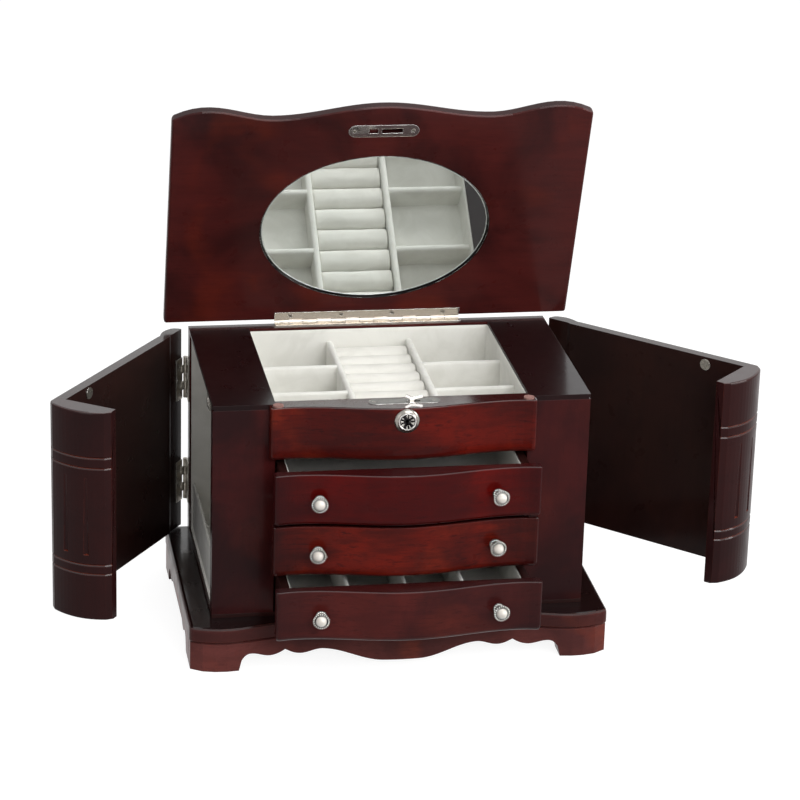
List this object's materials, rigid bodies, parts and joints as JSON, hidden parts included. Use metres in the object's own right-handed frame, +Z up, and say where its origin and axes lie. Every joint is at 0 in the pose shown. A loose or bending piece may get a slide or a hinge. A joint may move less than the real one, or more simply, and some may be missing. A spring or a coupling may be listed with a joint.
{
  "type": "vanity box with lid mirror, drawers and side doors",
  "caption": "Table-top vanity box: hinged lid with oval mirror, lined tray with ring rolls, curved drawer fronts and wrap-round doors over side necklace bays.",
  "frame": {"origin": "floor level under the middle of the cabinet", "axes": "+Z up, the drawers open towards -Y, +X to the right seen from the front"},
  "size_m": [0.5573, 0.2596, 0.4095],
  "materials": {
    "mahogany": "semi-gloss red mahogany lacquer",
    "dark_mahogany": "semi-gloss dark mahogany lacquer",
    "plinth_mahogany": "semi-gloss mahogany lacquer",
    "ivory_fabric": "ivory sueded lining cloth",
    "polished_nickel": "polished nickel plate",
    "dull_nickel": "dull nickel plate",
    "pearl": "cream pearl",
    "mirror": "silvered glass",
    "pad": "brownish soft pad",
    "keyway_black": "blackened steel"
  },
  "bodies": {
    "cabinet": {"base_slab": "plinth_mahogany", "base_apron": "plinth_mahogany", "base_rails": "plinth_mahogany", "bottom_board": "dark_mahogany", "back_panel": "dark_mahogany", "inner_wall_left": "dark_mahogany", "inner_wall_right": "dark_mahogany", "stile_left": "dark_mahogany", "stile_right": "dark_mahogany", "top_board_left": "dark_mahogany", "top_board_right": "dark_mahogany", "lock_rail": "mahogany", "drawer_shelves": "dark_mahogany", "tray_floor": "dark_mahogany", "tray_lining": "ivory_fabric", "tray_dividers": "ivory_fabric", "ring_rolls": "ivory_fabric", "side_linings": "ivory_fabric", "necklace_pocket_left": "ivory_fabric", "necklace_pocket_right": "ivory_fabric", "necklace_hooks": "dull_nickel", "door_magnets": "dull_nickel", "bumper_pads": "pad", "lock_plate": "polished_nickel", "lock_case": "dull_nickel", "escutcheon": "polished_nickel", "lid_hinge_fixed_leaf": "dull_nickel", "fixed_screws": "dull_nickel", "door_hinge_fixed_leaves": "dull_nickel"},
    "lid": {"lid_panel": "mahogany", "mirror_glass": "mirror", "strike_plate": "polished_nickel", "lid_hinge_moving_leaf": "dull_nickel", "lid_screws": "dull_nickel"},
    "left_door": {"door_left_side": "dark_mahogany", "door_left_front": "mahogany", "door_left_hinge_leaves": "dull_nickel", "door_left_catch": "dull_nickel"},
    "right_door": {"door_right_side": "dark_mahogany", "door_right_front": "mahogany", "door_right_hinge_leaves": "dull_nickel", "door_right_catch": "dull_nickel"},
    "drawer_1": {"drawer_1_front": "mahogany", "drawer_1_box": "dark_mahogany", "drawer_1_lining": "ivory_fabric", "drawer_1_knobs": "polished_nickel", "drawer_1_pearls": "pearl"},
    "drawer_2": {"drawer_2_front": "mahogany", "drawer_2_box": "dark_mahogany", "drawer_2_lining": "ivory_fabric", "drawer_2_knobs": "polished_nickel", "drawer_2_pearls": "pearl"},
    "drawer_3": {"drawer_3_front": "mahogany", "drawer_3_box": "dark_mahogany", "drawer_3_lining": "ivory_fabric", "drawer_3_knobs": "polished_nickel", "drawer_3_pearls": "pearl", "drawer_3_dividers": "ivory_fabric"},
    "lock_plug": {"lock_plug": "keyway_black"},
    "hook_bolt": {"hook_bolt": "polished_nickel"}
  },
  "joints": [
    {"name": "lid_hinge", "type": "hinge", "parent": "cabinet", "child": "lid", "pos_m": [0, 0.0932, 0.2107], "axis": [-1, 0, 0], "range_deg": [-70.1, 24.9]},
    {"name": "left_door_hinge", "type": "hinge", "parent": "cabinet", "child": "left_door", "pos_m": [-0.14685, 0.0934, 0.121], "axis": [0, 0, -1], "range_deg": [-34.55, 75.45]},
    {"name": "right_door_hinge", "type": "hinge", "parent": "cabinet", "child": "right_door", "pos_m": [0.14685, 0.0934, 0.121], "axis": [0, 0, 1], "range_deg": [-45.9, 64.1]},
    {"name": "drawer_1_slide", "type": "slide", "parent": "cabinet", "child": "drawer_1", "axis": [0, -1, 0], "range_m": [-0.028, 0.092]},
    {"name": "drawer_2_slide", "type": "slide", "parent": "cabinet", "child": "drawer_2", "axis": [0, -1, 0], "range_m": [-0.0235, 0.0965]},
    {"name": "drawer_3_slide", "type": "slide", "parent": "cabinet", "child": "drawer_3", "axis": [0, -1, 0], "range_m": [-0.046, 0.074]},
    {"name": "lock_turn", "type": "hinge", "parent": "cabinet", "child": "lock_plug", "pos_m": [0, -0.109, 0.2], "axis": [0, 1, 0], "range_deg": [0, 90]},
    {"name": "hook_slide", "type": "slide", "parent": "cabinet", "child": "hook_bolt", "axis": [1, 0, 0], "range_m": [0, 0.002]}
  ],
  "couplings": [
    {"joint": "hook_slide", "follows": "lock_turn", "m_per_rad": 0.00127}
  ]
}
